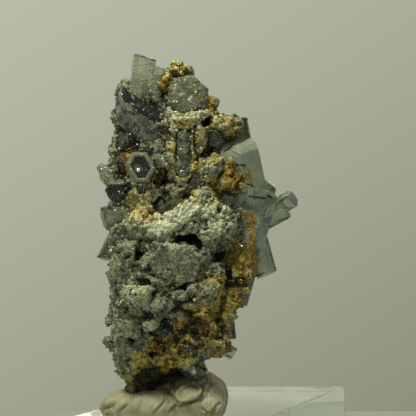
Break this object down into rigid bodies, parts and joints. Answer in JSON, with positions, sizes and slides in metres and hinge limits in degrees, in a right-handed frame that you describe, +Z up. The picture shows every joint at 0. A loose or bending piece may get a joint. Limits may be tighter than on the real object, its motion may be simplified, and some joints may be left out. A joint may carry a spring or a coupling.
{
  "type": "mineral specimen",
  "caption": "Knobbly rust-stained albite and mica rock set with blocky see-through aquamarine prisms, standing in a lump of putty on a clear display block.",
  "frame": {"origin": "middle of the clear block's underside, which is the bottom centre of the whole", "axes": "+Z up; -Y towards the display side; +X to the right as seen from the display side"},
  "size_m": [0.0808, 0.093, 0.101],
  "materials": {
    "aquamarine": "glassy crystal faces, hazy inside",
    "albite_and_mica": "rough, sugary, rust-stained",
    "putty": "dull, finger-pressed",
    "clear_acrylic": "polished, clear"
  },
  "bodies": {
    "root": {"matrix_rock": "albite_and_mica", "putty": "putty", "acrylic_block": "clear_acrylic", "top_left_prism": "aquamarine", "top_stub": "aquamarine", "slate_prism": "aquamarine", "shaded_prism": "aquamarine", "hexagon_pair": "aquamarine", "left_glassy_pair": "aquamarine", "left_lying_prism": "aquamarine", "left_fang": "aquamarine", "shoulder_prism": "aquamarine", "pale_dome": "aquamarine", "right_group": "aquamarine", "corner_bud": "aquamarine", "edge_sliver": "aquamarine", "foot_glassy": "aquamarine", "rib_prism": "aquamarine", "recess_hexagon": "aquamarine", "dark_window": "aquamarine", "low_window": "aquamarine", "wall_hexagon": "aquamarine", "lined_prism": "aquamarine", "back_top": "aquamarine", "back_tall": "aquamarine", "back_shoulder": "aquamarine", "back_middle": "aquamarine", "back_left": "aquamarine", "back_right": "aquamarine", "back_foot": "aquamarine"}
  },
  "joints": []
}
